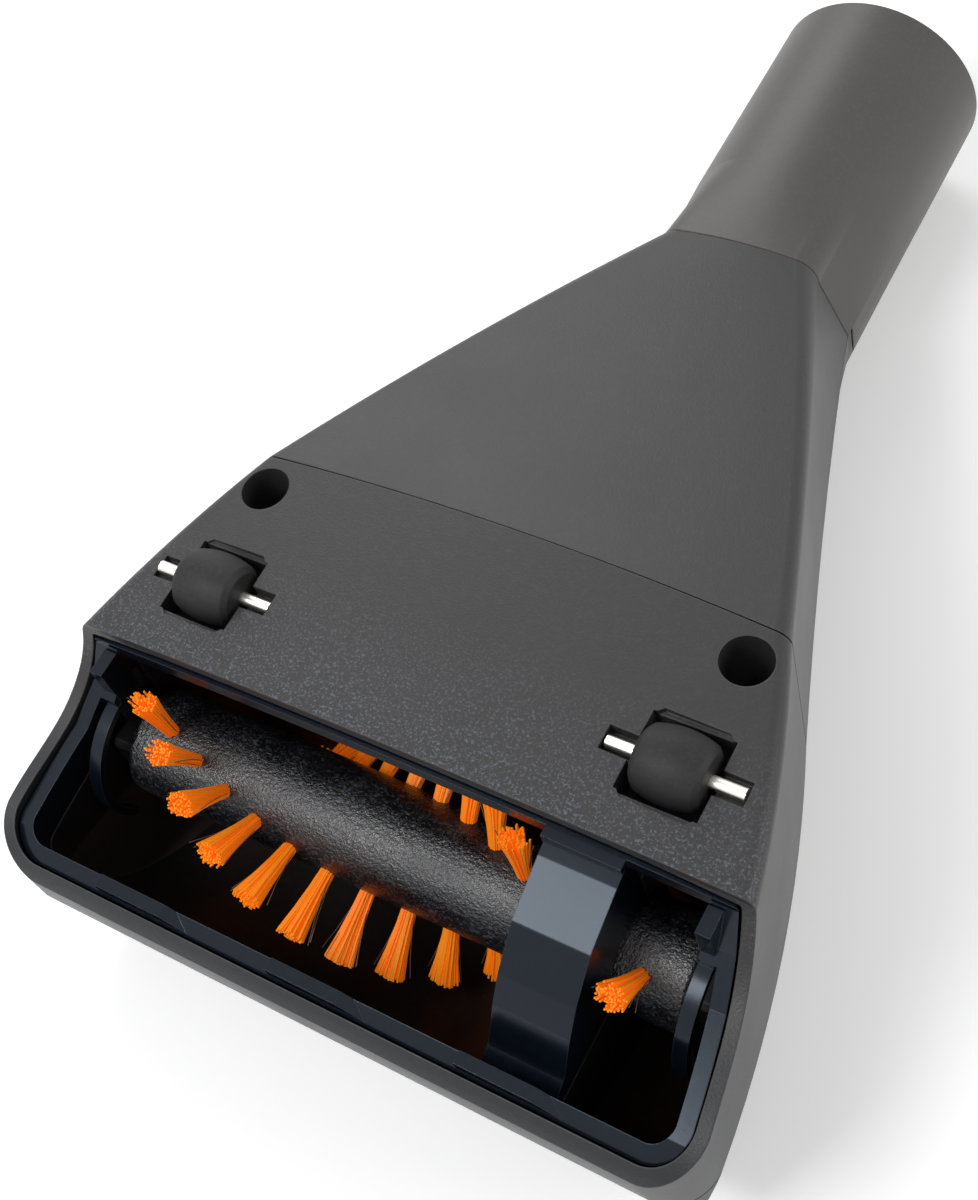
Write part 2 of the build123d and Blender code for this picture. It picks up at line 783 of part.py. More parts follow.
def make_tuft():
    """One bundle, pointing up from the roll's axis: a straight root that fans out to an oval tip."""
    low_z = core_radius - tuft_root_depth
    foot_ring = tuft_ring(low_z, tuft_root_radius, tuft_root_radius)
    mid_ring = tuft_ring(core_radius, tuft_root_radius, tuft_root_radius)
    tip_ring = tuft_ring(tip_radius, tuft_tip_wide, tuft_tip_narrow)
    root = loft([foot_ring, mid_ring], ruled=True)
    fan = loft([mid_ring, tip_ring], ruled=True)
    return main_solid(root + fan)


def make_tuft_row(row):
    """One helical row of tufts."""
    tuft = make_tuft()
    return Compound([on_roll(x, tuft_angle(x, row)) * tuft for x in tuft_places()])


def belt_outline(grow):
    """Outline of the belt's path round both pulleys, grown outwards by grow."""
    run_y = turbine_y - roll_y
    run_z = turbine_z - roll_z
    length = math.hypot(run_y, run_z)
    slope = math.atan2(run_z, run_y)
    big = belt_seat_radius + grow
    small = pinion_radius + grow
    lean = math.acos((big - small) / length)

    def at(y, z, radius, angle):
        return (y + radius * math.cos(angle), z + radius * math.sin(angle))

    big_top = at(roll_y, roll_z, big, slope + lean)
    big_low = at(roll_y, roll_z, big, slope - lean)
    small_top = at(turbine_y, turbine_z, small, slope + lean)
    small_low = at(turbine_y, turbine_z, small, slope - lean)
    return Face(Wire([
        Line(big_top, small_top),
        ThreePointArc(small_top, at(turbine_y, turbine_z, small, slope), small_low),
        Line(small_low, big_low),
        ThreePointArc(big_low, at(roll_y, roll_z, big, slope + math.pi), big_top),
    ]))


def make_belt():
    """Flat belt round the roll's seat and the pinion."""
    x0 = belt_x - belt_width / 2
    loop = prism_x(belt_outline(running_fit + belt_thickness), x0, x0 + belt_width)
    return main_solid(loop - prism_x(belt_outline(running_fit), x0 - over, x0 + belt_width + over))


def make_turbine_wheel():
    """Hub with curved blades and a thin disc at each end."""
    half = turbine_half_width
    hub = rod_x(-half, half, turbine_y, turbine_z, turbine_hub_radius)
    left_disc = rod_x(-half, -half + disc_width, turbine_y, turbine_z, turbine_radius)
    right_disc = rod_x(half - disc_width, half, turbine_y, turbine_z, turbine_radius)
    wheel = hub + left_disc + right_disc
    inner = turbine_hub_radius - blade_root_sink
    span = turbine_radius - inner - blade_tip_gap
    lean = math.radians(blade_lean)
    tip = (span * math.cos(lean), span * math.sin(lean))
    bulge_y = span / 2 * math.cos(lean) + blade_bow * math.sin(lean)
    bulge_z = span / 2 * math.sin(lean) - blade_bow * math.cos(lean)
    bulge = (bulge_y, bulge_z)
    outside = (bulge[0] - blade_thickness * math.sin(lean), bulge[1] + blade_thickness * math.cos(lean))
    end = (tip[0] - blade_thickness * math.sin(lean), tip[1] + blade_thickness * math.cos(lean))
    root = (-blade_thickness * math.sin(lean), blade_thickness * math.cos(lean))
    inside_arc = ThreePointArc((0, 0), bulge, tip)
    outside_arc = ThreePointArc(end, outside, root)
    face = Face(Wire([inside_arc, Line(tip, end), outside_arc, Line(root, (0, 0))]))
    blade = prism_x(Pos(inner, 0) * face, -half, half)
    centre = Pos(0, turbine_y, turbine_z)
    for i in range(turbine_blades):
        wheel = wheel + centre * (Rot(360.0 / turbine_blades * i, 0, 0) * blade)
    return main_solid(wheel - rod_x(-far, far, turbine_y, turbine_z, turbine_shaft_radius + press_gap))


def make_cradle():
    """Fixed cradle: two round cheeks on feet, with a floor that follows the turbine's lower half."""
    inner = turbine_radius + cradle_gap
    rim = inner + cradle_wall
    x_in = turbine_half_width + cradle_gap
    x_out = x_in + cradle_wall
    drum = rod_x(-x_out, x_out, turbine_y, turbine_z, rim) - rod_x(-x_in, x_in, turbine_y, turbine_z, inner)
    drum = drum - slab(-x_in, x_in, -far, far, turbine_z - cradle_open, far)
    for side in (-1, 1):
        x0 = side * (x_in + x_out) / 2 - cradle_wall / 2
        foot = slab(x0, x0 + cradle_wall, turbine_y - foot_half, turbine_y + foot_half, floor_z, turbine_z)
        drum = drum + ((foot & cavity) - rod_x(-x_in, x_in, turbine_y, turbine_z, inner))
        x1 = x0 + cradle_wall
        drum = drum - rod_x(x0 - over, x1 + over, turbine_y, turbine_z, turbine_bush_radius + press_gap)
    return main_solid(drum)


def make_wheel():
    """Barrel shaped rubber wheel."""
    h = wheel_half_width
    bore = axle_radius + running_fit
    shoulder_x = h - wheel_shoulder
    shoulder = wheel_edge_radius + wheel_shoulder_rise
    edge = wheel_edge_radius - wheel_edge_drop
    arc = ThreePointArc((-shoulder_x, shoulder), (0, wheel_radius), (shoulder_x, shoulder))
    right_side = [(shoulder_x, shoulder), (h, edge), (h, bore)]
    left_side = [(-h, bore), (-h, edge), (-shoulder_x, shoulder)]
    rest = Polyline(right_side + left_side)
    face = Face(Wire([arc] + list(rest.edges())))
    return main_solid(revolve(Plane.XY * face, Axis.X))


def make_screw():
    """Pan head screw with a cross recess, head up."""
    head = rod_z(0, 0, -well_depth, -well_depth + screw_head_height, screw_head_radius)
    top_edge = head.edges().sort_by(Axis.Z)[-1]
    head = fillet([top_edge], screw_head_round)
    cross_z = -well_depth + cross_floor
    cross = slab(-cross_length, cross_length, -cross_width, cross_width, cross_z, far)
    cross = cross + slab(-cross_width, cross_width, -cross_length, cross_length, cross_z, far)
    shank = rod_z(0, 0, -well_depth - screw_length, -well_depth + 0.1, screw_radius)
    return main_solid(head + shank - cross)


cradle_x = turbine_half_width + cradle_gap
bush_x0 = cradle_x - bush_inset
bush_x1 = cradle_x + cradle_wall + bush_inset
nodes = {
    "top_cover": make_top_cover(),
    "rear_underside": make_rear_underside(),
    "sole_plate": make_sole_plate(),
    "mouth_frame": make_mouth_frame(),
    "brush_chamber": make_brush_chamber(),
    "neck_tube": make_neck_tube(),
    "brush_core": make_brush_core(),
    "tuft_row_a": make_tuft_row(0),
    "tuft_row_b": make_tuft_row(1),
    "brush_shaft": main_solid(rod_x(-block_end_x, block_end_x, roll_y, roll_z, brush_shaft_radius)),
    "drive_belt": make_belt(),
    "turbine_wheel": make_turbine_wheel(),
    "turbine_cradle": make_cradle(),
}

block_x0 = block_end_x - block_length
for name, side in (("left", -1), ("right", 1)):
    low, high = sorted((side * block_x0, side * block_end_x))
    nodes["bearing_block_" + name] = make_block(side)
    bush_bore = brush_shaft_radius + running_fit
    nodes["brush_bush_" + name] = make_bush(low, high, roll_y, roll_z, bush_radius, bush_bore)
    low, high = sorted((side * bush_x0, side * bush_x1))
    nodes["turbine_bush_" + name] = make_bush(low, high, turbine_y, turbine_z, turbine_bush_radius,
                                              turbine_shaft_radius + running_fit)
    nodes["sole_screw_" + name] = Pos(side * well_x, well_y, 0) * make_screw()
    spot = Pos(side * wheel_x, wheel_y, wheel_axle_z)
    nodes["wheel_" + name] = spot * make_wheel()
    nodes["wheel_axle_" + name] = spot * rod_x(-axle_half_length, axle_half_length, 0, 0, axle_radius)

pinion_x0 = belt_x - belt_width / 2 - running_fit
pinion_x1 = belt_x + belt_width / 2 + running_fit
flange_radius = pinion_radius + belt_thickness + pinion_lip
pinion = rod_x(pinion_x0 - pinion_flange, pinion_x1 + pinion_flange, turbine_y, turbine_z, flange_radius)
groove = rod_x(pinion_x0, pinion_x1, turbine_y, turbine_z, far)
groove = groove - rod_x(pinion_x0, pinion_x1, turbine_y, turbine_z, pinion_radius)
pinion = pinion - groove
pinion = pinion - rod_x(0, far, turbine_y, turbine_z, turbine_shaft_radius + press_gap)
nodes["belt_pinion"] = main_solid(pinion)
shaft_x1 = pinion_x1 + pinion_flange + shaft_end
turbine_shaft = rod_x(-bush_x1 - shaft_end, shaft_x1, turbine_y, turbine_z, turbine_shaft_radius)
nodes["turbine_shaft"] = main_solid(turbine_shaft)

place = Pos(0, -(lip_y + tube_end_y) / 2, -base_z)
os.makedirs("parts", exist_ok=True)
for name, shape in nodes.items():
    export_step(place * shape, "parts/" + name + ".step")
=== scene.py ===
# %% [markdown]
# # A vacuum turbo brush, lying on its back
# The brush head lies sole up, as it would on a bench before its roll is cleaned of hair.
# The casing, roll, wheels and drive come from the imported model, which already has the true sizes.
# This script gives each of them its finish, and adds what a solid model leaves out: the single bristles.

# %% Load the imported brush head
import json
import math
import random

import bmesh
import bpy
from mathutils import Matrix, Vector


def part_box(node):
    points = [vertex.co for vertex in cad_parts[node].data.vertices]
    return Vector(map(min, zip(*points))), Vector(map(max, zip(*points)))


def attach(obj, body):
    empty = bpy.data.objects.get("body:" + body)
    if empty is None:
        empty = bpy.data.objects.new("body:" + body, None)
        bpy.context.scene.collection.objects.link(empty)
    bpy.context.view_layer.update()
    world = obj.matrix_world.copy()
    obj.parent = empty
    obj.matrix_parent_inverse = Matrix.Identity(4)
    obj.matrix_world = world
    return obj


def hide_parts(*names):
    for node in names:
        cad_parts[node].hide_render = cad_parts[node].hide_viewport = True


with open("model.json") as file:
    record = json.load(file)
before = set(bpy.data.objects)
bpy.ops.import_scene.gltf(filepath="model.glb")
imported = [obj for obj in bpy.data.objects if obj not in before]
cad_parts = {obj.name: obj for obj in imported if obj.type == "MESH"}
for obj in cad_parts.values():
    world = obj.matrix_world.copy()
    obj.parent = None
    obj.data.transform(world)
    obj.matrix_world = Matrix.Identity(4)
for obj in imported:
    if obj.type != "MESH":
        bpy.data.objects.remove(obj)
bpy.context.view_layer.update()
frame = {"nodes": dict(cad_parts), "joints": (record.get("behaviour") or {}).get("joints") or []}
nodes = frame["nodes"]
print("pieces loaded:", len(nodes))

# %% [markdown]
# ## Where things are
# Everything is in metres. The wand tube points to +Y, the open mouth to -Y, and the sole looks up.
# The roll's axis runs along X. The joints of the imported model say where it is, and the boxes of its pieces
# how thick it is and where the mouth begins. Only the lip's depth is a size that is typed again here.

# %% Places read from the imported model
joints = {j["name"]: j for j in frame["joints"]}
roll_axis = Vector(joints["roll_spin"]["pos_m"])
mm = 0.001
core_low, core_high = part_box("brush_core")
core_radius = (core_high.z - core_low.z) / 2
lip_depth = 37 * mm
mouth_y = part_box("sole_plate")[0].y + lip_depth
print("roll axis", [round(v, 4) for v in roll_axis], "core radius mm", round(core_radius / mm, 2))

# %% [markdown]
# ## Small helpers for materials
# A material is a chain of nodes. These helpers add a node and set its sockets by name,
# so that each recipe below reads from coordinates, through textures, to the shader.


# %% Node helpers
def add_node(tree, kind, **values):
    """A new node. Values are given to its properties, or to the sockets of the same name."""
    node = tree.nodes.new(kind)
    for name, value in values.items():
        if hasattr(node, name):
            setattr(node, name, value)
        else:
            node.inputs[name.replace("_", " ")].default_value = value
    return node


def colour_mix(tree, first=None, second=None):
    """A colour mix and its sockets: factor, first colour, second colour, result."""
    node = add_node(tree, "ShaderNodeMix", data_type="RGBA")
    sockets = {s.identifier: s for s in node.inputs}
    factor, a, b = (sockets[i] for i in ("Factor_Float", "A_Color", "B_Color"))
    result = next(s for s in node.outputs if s.identifier == "Result_Color")
    for socket, colour in ((a, first), (b, second)):
        if colour is not None:
            socket.default_value = (*colour, 1)
    return factor, a, b, result


def new_group(title, inputs, outputs):
    """An empty node group with float, colour or vector sockets, and its input and output nodes."""
    kinds = {"f": "NodeSocketFloat", "c": "NodeSocketColor", "v": "NodeSocketVector"}
    tree = bpy.data.node_groups.new(title, "ShaderNodeTree")
    for name, kind, value in inputs:
        socket = tree.interface.new_socket(name=name, in_out="INPUT", socket_type=kinds[kind])
        if value is not None:
            socket.default_value = value
    for name, kind in outputs:
        tree.interface.new_socket(name=name, in_out="OUTPUT", socket_type=kinds[kind])
    return tree, tree.nodes.new("NodeGroupInput"), tree.nodes.new("NodeGroupOutput")


def place_group(tree, group, **values):
    """A node that puts a group into a material, with its own values."""
    node = tree.nodes.new("ShaderNodeGroup")
    node.node_tree = group
    for name, value in values.items():
        node.inputs[name.replace("_", " ")].default_value = value
    return node


# %% [markdown]
# ## Moulded grain
# The casing was moulded in a tool with a spark-eroded surface, so it has a fine even grain.
# Two noise textures make it: a very fine one for the grain itself and a broad one for slight unevenness.
# The group gives a height for the Bump node, the broad noise for colour and roughness, and a mask of specks.

# %% Group: moulded grain
grain_tree, g_in, g_out = new_group(
    "Moulded grain",
    [("Vector", "v", None), ("Grain Size", "f", 1800.0), ("Cloud Size", "f", 60.0)],
    [("Height", "f"), ("Cloud", "f"), ("Speck", "f")],
)
fine = add_node(grain_tree, "ShaderNodeTexNoise", Detail=2.0, Roughness=0.7)
cloud = add_node(grain_tree, "ShaderNodeTexNoise", Detail=2.0)
speck = add_node(grain_tree, "ShaderNodeMapRange", From_Min=0.52, From_Max=0.68)
link = grain_tree.links.new
for tex, size in ((fine, "Grain Size"), (cloud, "Cloud Size")):
    link(g_in.outputs["Vector"], tex.inputs["Vector"])
    link(g_in.outputs[size], tex.inputs["Scale"])
link(fine.outputs["Fac"], speck.inputs["Value"])
link(fine.outputs["Fac"], g_out.inputs["Height"])
link(cloud.outputs["Fac"], g_out.inputs["Cloud"])
link(speck.outputs["Result"], g_out.inputs["Speck"])
print("grain group nodes:", len(grain_tree.nodes))

# %% [markdown]
# ## Dust
# Dust settles on what faces up and stays in patches. A noise, cut by a soft threshold,
# is multiplied by how far the surface faces up, which the Z of its normal gives.

# %% Group: settled dust
dust_tree, d_in, d_out = new_group(
    "Settled dust",
    [("Vector", "v", None), ("Patch Size", "f", 700.0), ("Amount", "f", 0.3)],
    [("Mask", "f")],
)
patch = add_node(dust_tree, "ShaderNodeTexNoise", Detail=6.0, Roughness=0.7)
soft = add_node(dust_tree, "ShaderNodeMapRange", From_Min=0.50, From_Max=0.70)
facing = add_node(dust_tree, "ShaderNodeSeparateXYZ")
shape = add_node(dust_tree, "ShaderNodeNewGeometry")
up = add_node(dust_tree, "ShaderNodeMapRange", From_Min=-0.2, From_Max=0.9)
both = add_node(dust_tree, "ShaderNodeMath", operation="MULTIPLY")
scaled = add_node(dust_tree, "ShaderNodeMath", operation="MULTIPLY")
link = dust_tree.links.new
link(d_in.outputs["Vector"], patch.inputs["Vector"])
link(d_in.outputs["Patch Size"], patch.inputs["Scale"])
link(patch.outputs["Fac"], soft.inputs["Value"])
link(shape.outputs["Normal"], facing.inputs["Vector"])
link(facing.outputs["Z"], up.inputs["Value"])
link(soft.outputs["Result"], both.inputs[0])
link(up.outputs["Result"], both.inputs[1])
link(both.outputs["Value"], scaled.inputs[0])
link(d_in.outputs["Amount"], scaled.inputs[1])
link(scaled.outputs["Value"], d_out.inputs["Mask"])
print("dust group nodes:", len(dust_tree.nodes))

# %% [markdown]
# ## Edges
# A moulded edge is never perfectly sharp: it has a small radius that catches the light, and it is rubbed
# paler. The Bevel node looks at the surface a little way round each point. Its normal rounds the edge for the
# light. Where it leans away from the surface's own normal there is an edge, and that gives a mask for the
# paler edge colour, which is partly that wear and partly a painted highlight.

# %% Group: soft edges
edge_tree, e_in, e_out = new_group(
    "Soft edges",
    [("Radius", "f", 0.0004)],
    [("Mask", "f"), ("Normal", "v")],
)
rounded = add_node(edge_tree, "ShaderNodeBevel", samples=4)
own_shape = add_node(edge_tree, "ShaderNodeNewGeometry")
agree = add_node(edge_tree, "ShaderNodeVectorMath", operation="DOT_PRODUCT")
edge_mask = add_node(edge_tree, "ShaderNodeMapRange", From_Min=0.80, From_Max=0.99, To_Min=1.0, To_Max=0.0)
link = edge_tree.links.new
link(e_in.outputs["Radius"], rounded.inputs["Radius"])
link(rounded.outputs["Normal"], agree.inputs[0])
link(own_shape.outputs["Normal"], agree.inputs[1])
link(agree.outputs["Value"], edge_mask.inputs["Value"])
link(edge_mask.outputs["Result"], e_out.inputs["Mask"])
link(rounded.outputs["Normal"], e_out.inputs["Normal"])
print("edge group nodes:", len(edge_tree.nodes))

# %% [markdown]
# ## Upright faces
# The tool's walls are smoother than its floor, because the moulding slides out along them. So the casing's
# side walls shine more than its sole, and the sole's specks, with their painted glint, stop at them. The mask
# is full where the surface's normal lies level or looks down, and none where it looks up.

# %% Group: upright faces
side_tree, s_in, s_out = new_group("Upright faces", [("Amount", "f", 0.0)], [("Mask", "f")])
wall_shape = add_node(side_tree, "ShaderNodeNewGeometry")
wall_facing = add_node(side_tree, "ShaderNodeSeparateXYZ")
level_share = add_node(side_tree, "ShaderNodeMapRange", From_Min=0.70, From_Max=0.25)
wall_scaled = add_node(side_tree, "ShaderNodeMath", operation="MULTIPLY")
link = side_tree.links.new
link(wall_shape.outputs["Normal"], wall_facing.inputs["Vector"])
link(wall_facing.outputs["Z"], level_share.inputs["Value"])
link(level_share.outputs["Result"], wall_scaled.inputs[0])
link(s_in.outputs["Amount"], wall_scaled.inputs[1])
link(wall_scaled.outputs["Value"], s_out.inputs["Mask"])
print("upright group nodes:", len(side_tree.nodes))

# %% [markdown]
# ## The recipe for a plastic
# The moulded pieces share one kind of material, each with its own values: a base colour that drifts a little,
# bright specks in the grain, edges painted paler, partly for wear and partly as a painted highlight, some
# dust, and a bump from the grain. Near the mouth the sole's specks are stronger: that extra share is a painted
# glint, not wear. A Map Range on the object's Y gives that share. In front of that edge the casing turns into
# the lip, whose colour is a little darker as painted shade, and which has no specks. The roughness drifts with
# the broad noise, and is less on upright faces, where the piece asks for polish.
# The shader itself stays in each material, with its fixed values on its sockets.

# %% Where the painted glint on the sole lies and where the lip's painted shade begins
glint_start = mouth_y + 24 * mm
glint_full = mouth_y - 4 * mm
speck_end = mouth_y - 5 * mm
lip_start = mouth_y + 5 * mm
lip_full = mouth_y - 22 * mm
dust_colour = (0.36, 0.34, 0.31)
coat_rough = 0.08
bump_height = 0.2 * mm
print("rubbed from y", round(glint_start, 4), "to", round(glint_full, 4))


# %% Plastic recipe
def plastic(name, colour, speck_and_glint_colour, rough, grain_size, bump, dust, specular=0.5, coat=0.0,
            speck_share=0.5, edge_wear_and_highlight=(0.20, 0.20, 0.21), edge_share=0.3, edge_radius=0.0004,
            painted_glint=0.0, side_polish=0.0, shine_tint=(1.0, 1.0, 1.0), lip_painted_shade=None):
    """A procedural plastic that reads Object coordinates."""
    mat = bpy.data.materials.new(name)
    mat.use_nodes = True
    tree = mat.node_tree
    shader = tree.nodes["Principled BSDF"]
    shader.inputs["Specular IOR Level"].default_value = specular
    shader.inputs["Coat Weight"].default_value = coat
    shader.inputs["Coat Roughness"].default_value = coat_rough
    shader.inputs["Specular Tint"].default_value = (*shine_tint, 1)
    place = add_node(tree, "ShaderNodeTexCoord")
    parts = add_node(tree, "ShaderNodeSeparateXYZ")
    grain = place_group(tree, grain_tree, Grain_Size=grain_size)
    settled = place_group(tree, dust_tree, Amount=dust)
    edges = place_group(tree, edge_tree, Radius=edge_radius)
    walls = place_group(tree, side_tree, Amount=1.0)
    polish = place_group(tree, side_tree, Amount=side_polish)
    # The specks' share grows towards the mouth; the extra share there is a painted glint.
    near = add_node(tree, "ShaderNodeMapRange", From_Min=glint_start, From_Max=glint_full, To_Min=speck_share,
                    To_Max=speck_share + painted_glint)
    off_lip = add_node(tree, "ShaderNodeMapRange", From_Min=speck_end, From_Max=mouth_y)
    # The lip's darker colour is painted shade, growing towards the front of the casing.
    lip_shade_share = add_node(tree, "ShaderNodeMapRange", From_Min=lip_start, From_Max=lip_full)
    off_walls = add_node(tree, "ShaderNodeMath", operation="SUBTRACT")
    off_walls.inputs[0].default_value = 1.0
    upper = add_node(tree, "ShaderNodeMath", operation="MULTIPLY")
    speck_and_glint_share = add_node(tree, "ShaderNodeMath", operation="MULTIPLY")
    sparkle = add_node(tree, "ShaderNodeMath", operation="MULTIPLY")
    edge_amount = add_node(tree, "ShaderNodeMath", operation="MULTIPLY")
    edge_amount.inputs[1].default_value = edge_share
    dullness = add_node(tree, "ShaderNodeMapRange", To_Min=rough - 0.05, To_Max=rough + 0.07)
    smoother = add_node(tree, "ShaderNodeMath", operation="SUBTRACT")
    relief = add_node(tree, "ShaderNodeBump", Strength=bump, Distance=bump_height)
    drift, _, _, tint = colour_mix(tree, [v * 0.90 for v in colour], [v * 1.10 for v in colour])
    lip_factor, under_lip, _, lip_shaded = colour_mix(tree, None, lip_painted_shade or colour)
    speck_factor, under_specks, _, specks = colour_mix(tree, None, speck_and_glint_colour)
    # The paler edge colour is partly wear and partly a painted highlight.
    edge_factor, under_edges, _, edged = colour_mix(tree, None, edge_wear_and_highlight)
    dust_factor, under_dust, _, dusty = colour_mix(tree, None, dust_colour)
    link = tree.links.new
    for reader in (grain, settled, parts):
        link(place.outputs["Object"], reader.inputs["Vector"])
    for reader in (near, off_lip, lip_shade_share):
        link(parts.outputs["Y"], reader.inputs["Value"])
    link(grain.outputs["Cloud"], drift)
    link(lip_shade_share.outputs["Result"], lip_factor)
    link(tint, under_lip)
    link(near.outputs["Result"], upper.inputs[0])
    link(off_lip.outputs["Result"], upper.inputs[1])
    link(walls.outputs["Mask"], off_walls.inputs[1])
    link(upper.outputs["Value"], speck_and_glint_share.inputs[0])
    link(off_walls.outputs["Value"], speck_and_glint_share.inputs[1])
    link(grain.outputs["Speck"], sparkle.inputs[0])
    link(speck_and_glint_share.outputs["Value"], sparkle.inputs[1])
    link(sparkle.outputs["Value"], speck_factor)
    link(lip_shaded, under_specks)
    link(specks, under_edges)
    link(edges.outputs["Mask"], edge_amount.inputs[0])
    link(edge_amount.outputs["Value"], edge_factor)
    link(edged, under_dust)
    link(settled.outputs["Mask"], dust_factor)
    link(dusty, shader.inputs["Base Color"])
    link(grain.outputs["Cloud"], dullness.inputs["Value"])
    link(dullness.outputs["Result"], smoother.inputs[0])
    link(polish.outputs["Mask"], smoother.inputs[1])
    link(smoother.outputs["Value"], shader.inputs["Roughness"])
    link(grain.outputs["Height"], relief.inputs["Height"])
    link(edges.outputs["Normal"], relief.inputs["Normal"])
    link(relief.outputs["Normal"], shader.inputs["Normal"])
    return mat


def wear(node_name, material):
    """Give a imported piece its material."""
    mesh = nodes[node_name].data
    mesh.materials.clear()
    mesh.materials.append(material)


# %% [markdown]
# ## Casing, tube, frame and chamber
# The casing is a textured dark grey. The wand tube is a paler and warmer grey, and smoother, as from a
# polished tool. The frame round the mouth is glossy and nearly blue-black. The chamber is plain black.

# %% Casing finishes
# Near the mouth the casing's specks carry a painted glint, and its darker lip colour is painted shade.
casing_grey = plastic("casing_grey", (0.033, 0.031, 0.031), (0.26, 0.30, 0.38), 0.43, 2300.0, 0.34, 0.02,
                      specular=0.42, speck_share=0.02, painted_glint=0.50, side_polish=0.06,
                      lip_painted_shade=(0.011, 0.012, 0.015))
tube_grey = plastic("tube_grey", (0.066, 0.061, 0.056), (0.12, 0.12, 0.12), 0.40, 1200.0, 0.06, 0.02,
                    speck_share=0.15)
# The frame's pale bluish edge colour is partly wear and partly a painted highlight.
frame_black = plastic("frame_black", (0.003, 0.005, 0.009), (0.05, 0.06, 0.09), 0.19, 900.0, 0.03, 0.01,
                      coat=0.05, specular=0.32, speck_share=0.05, edge_wear_and_highlight=(0.30, 0.34, 0.40),
                      edge_share=0.12, edge_radius=0.0002, shine_tint=(0.72, 0.84, 1.0))
chamber_black = plastic("chamber_black", (0.006, 0.006, 0.006), (0.03, 0.03, 0.03), 0.42, 1100.0, 0.06, 0.02,
                        specular=0.3, speck_share=0.15, edge_share=0.1)
for name in ("top_cover", "rear_underside", "sole_plate"):
    wear(name, casing_grey)
wear("neck_tube", tube_grey)
wear("mouth_frame", frame_black)
for name in ("brush_chamber", "turbine_cradle", "bearing_block_left", "bearing_block_right"):
    wear(name, chamber_black)
print("casing finishes:", casing_grey.name, tube_grey.name, frame_black.name, chamber_black.name)

# %% [markdown]
# ## Roll, wheels and drive
# The roll is black plastic with a coarse mottled skin, paler on its high spots, and gets a recipe of its own.
# The wheels are soft dark rubber with a dull skin.
# The belt is rubber too, and the turbine a glossy grey moulding deep inside the casing.

# %% Roll finish
def textured_roll():
    """Black plastic with a coarse mottled skin, paler on its high spots."""
    mat = bpy.data.materials.new("roll_black")
    mat.use_nodes = True
    tree = mat.node_tree
    shader = tree.nodes["Principled BSDF"]
    shader.inputs["Specular IOR Level"].default_value = 0.75
    place = add_node(tree, "ShaderNodeTexCoord")
    grain = place_group(tree, grain_tree, Grain_Size=1650.0, Cloud_Size=160.0)
    settled = place_group(tree, dust_tree, Patch_Size=500.0, Amount=0.05)
    high = add_node(tree, "ShaderNodeMath", operation="MULTIPLY")
    high_factor, _, _, skin = colour_mix(tree, (0.003, 0.003, 0.004), (0.11, 0.12, 0.15))
    dust_factor, under_dust, _, dusty = colour_mix(tree, None, (0.30, 0.30, 0.31))
    dullness = add_node(tree, "ShaderNodeMapRange", From_Min=0.35, From_Max=0.65, To_Min=0.25, To_Max=0.42)
    relief = add_node(tree, "ShaderNodeBump", Strength=0.9, Distance=0.00028)
    link = tree.links.new
    link(place.outputs["Object"], grain.inputs["Vector"])
    link(place.outputs["Object"], settled.inputs["Vector"])
    link(grain.outputs["Speck"], high.inputs[0])
    link(grain.outputs["Cloud"], high.inputs[1])
    link(high.outputs["Value"], high_factor)
    link(skin, under_dust)
    link(settled.outputs["Mask"], dust_factor)
    link(dusty, shader.inputs["Base Color"])
    link(grain.outputs["Cloud"], dullness.inputs["Value"])
    link(dullness.outputs["Result"], shader.inputs["Roughness"])
    link(grain.outputs["Height"], relief.inputs["Height"])
    link(relief.outputs["Normal"], shader.inputs["Normal"])
    return mat


# %% Roll, wheel and belt finishes
roll_black = textured_roll()
wheel_black = plastic("wheel_black", (0.013, 0.013, 0.013), (0.04, 0.04, 0.04), 0.58, 1500.0, 0.06, 0.02,
                      specular=0.35, speck_share=0.3, edge_share=0.1)
belt_black = plastic("belt_black", (0.010, 0.010, 0.010), (0.03, 0.03, 0.03), 0.70, 1600.0, 0.30, 0.05)
turbine_grey = plastic("turbine_grey", (0.09, 0.09, 0.095), (0.14, 0.14, 0.15), 0.35, 900.0, 0.05, 0.10)
wear("brush_core", roll_black)
for name in ("wheel_left", "wheel_right"):
    wear(name, wheel_black)
wear("drive_belt", belt_black)
for name in ("turbine_wheel", "belt_pinion"):
    wear(name, turbine_grey)
print("moving finishes:", roll_black.name, wheel_black.name, belt_black.name, turbine_grey.name)

# %% [markdown]
# ## Metal
# The wheel pins and the shafts are bright drawn steel, the screws dull plated steel, the bushes sintered
# bronze. A fine noise gives the marks, and a Mapping node makes them long along a pin or a screw.


# %% Metal recipe
def metal(name, colour, rough, stretch):
    """A procedural metal with fine marks, long in the direction whose stretch is small."""
    mat = bpy.data.materials.new(name)
    mat.use_nodes = True
    tree = mat.node_tree
    shader = tree.nodes["Principled BSDF"]
    shader.inputs["Metallic"].default_value = 1.0
    place = add_node(tree, "ShaderNodeTexCoord")
    marks = add_node(tree, "ShaderNodeMapping")
    marks.inputs["Scale"].default_value = stretch
    noise = add_node(tree, "ShaderNodeTexNoise", Scale=900.0, Detail=4.0)
    dullness = add_node(tree, "ShaderNodeMapRange", To_Min=rough - 0.08, To_Max=rough + 0.12)
    drift, _, _, tint = colour_mix(tree, [v * 0.85 for v in colour], colour)
    relief = add_node(tree, "ShaderNodeBump", Strength=0.15, Distance=0.0001)
    link = tree.links.new
    link(place.outputs["Object"], marks.inputs["Vector"])
    link(marks.outputs["Vector"], noise.inputs["Vector"])
    link(noise.outputs["Fac"], dullness.inputs["Value"])
    link(noise.outputs["Fac"], drift)
    link(noise.outputs["Fac"], relief.inputs["Height"])
    link(tint, shader.inputs["Base Color"])
    link(dullness.outputs["Result"], shader.inputs["Roughness"])
    link(relief.outputs["Normal"], shader.inputs["Normal"])
    return mat


